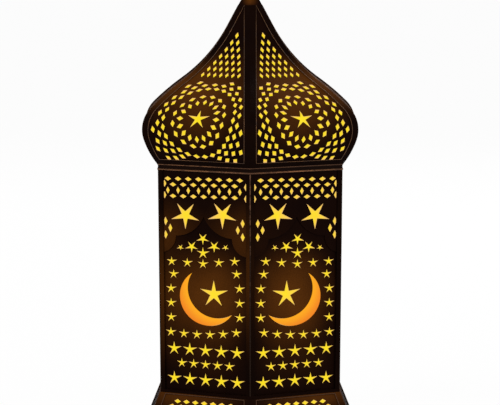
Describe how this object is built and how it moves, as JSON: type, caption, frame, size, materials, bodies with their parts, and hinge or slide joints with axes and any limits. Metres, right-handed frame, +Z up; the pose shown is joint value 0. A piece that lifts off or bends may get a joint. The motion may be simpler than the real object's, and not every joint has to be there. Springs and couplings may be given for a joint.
{
  "type": "ramadan fanous lantern",
  "caption": "Hexagonal pierced metal lantern with a ribbed onion dome, amber panes behind star and crescent cut-outs, a hinged door, a battery candle and a hanging ring.",
  "frame": {"origin": "centre of the hexagonal plan, on the plane that the feet stand on", "axes": "+Z up through the finial, -Y towards the corner that the picture looks at"},
  "size_m": [0.203, 0.2344, 0.455],
  "materials": {
    "dark_sheet": "satin black-brown paint with worn bronze edges",
    "bronze": "aged bronze",
    "amber_pane": "translucent amber, lit from behind",
    "orange_pane": "translucent orange, lit from behind",
    "foot_rubber": "matt black",
    "steel": "brushed",
    "black_plastic": "matt",
    "candle_wax": "waxy ivory",
    "flame": "frosted",
    "cell_wrap": "printed wrap, plain",
    "circuit_board": "solder mask",
    "lead_cover": "insulation"
  },
  "bodies": {
    "lantern": {"arch_plate_back_left": "dark_sheet", "arch_plate_front_left": "dark_sheet", "arch_plate_front_right": "dark_sheet", "arch_plate_left": "dark_sheet", "arch_plate_right": "dark_sheet", "base_plate": "dark_sheet", "battery_box": "black_plastic", "battery_cells": "cell_wrap", "battery_cover": "black_plastic", "bottom_frame": "dark_sheet", "candle_body": "candle_wax", "candle_cup": "bronze", "corner_post_back": "dark_sheet", "corner_post_front": "dark_sheet", "corner_post_left_back": "dark_sheet", "corner_post_left_front": "dark_sheet", "corner_post_right_back": "dark_sheet", "corner_post_right_front": "dark_sheet", "cornice": "dark_sheet", "crescent_panes": "orange_pane", "crown": "bronze", "dome_gore_back_left": "dark_sheet", "dome_gore_back_right": "dark_sheet", "dome_gore_front_left": "dark_sheet", "dome_gore_front_right": "dark_sheet", "dome_gore_left": "dark_sheet", "dome_gore_right": "dark_sheet", "dome_panes": "amber_pane", "dome_ribs": "dark_sheet", "feet": "foot_rubber", "finial": "bronze", "finial_nut": "steel", "flame_lens": "flame", "foot_screws": "steel", "hinge_pins": "steel", "led_board": "circuit_board", "led_leads": "lead_cover", "magnet_catch": "black_plastic", "plinth": "dark_sheet", "post_hinge_leaves": "steel", "skirt_panels": "dark_sheet", "skirt_panes": "amber_pane", "skirt_ribs": "dark_sheet", "star_panel_back_left": "dark_sheet", "star_panel_front_left": "dark_sheet", "star_panel_front_right": "dark_sheet", "star_panel_left": "dark_sheet", "star_panel_right": "dark_sheet", "switch_body": "black_plastic", "wall_panes": "amber_pane"},
    "door": {"door_frame": "dark_sheet", "door_arch_plate": "dark_sheet", "door_star_panel": "dark_sheet", "door_crescent_pane": "orange_pane", "door_pane": "amber_pane", "door_strike": "steel", "door_knob": "bronze", "door_hinge_leaves": "steel"},
    "ring": {"hanging_ring": "bronze"},
    "slider": {"switch_slider": "black_plastic"}
  },
  "joints": [
    {"name": "door_hinge", "type": "hinge", "parent": "lantern", "child": "door", "pos_m": [0, 0.1006, 0.05], "axis": [0, 0.0111, 0.9999], "range_deg": [0, 110]},
    {"name": "ring_swing", "type": "hinge", "parent": "lantern", "child": "ring", "pos_m": [0, 0, 0.44981], "axis": [1, 0, 0], "range_deg": [0, 321]},
    {"name": "switch_slide", "type": "slide", "parent": "lantern", "child": "slider", "axis": [1, 0, 0], "range_m": [0, 0.004]}
  ]
}
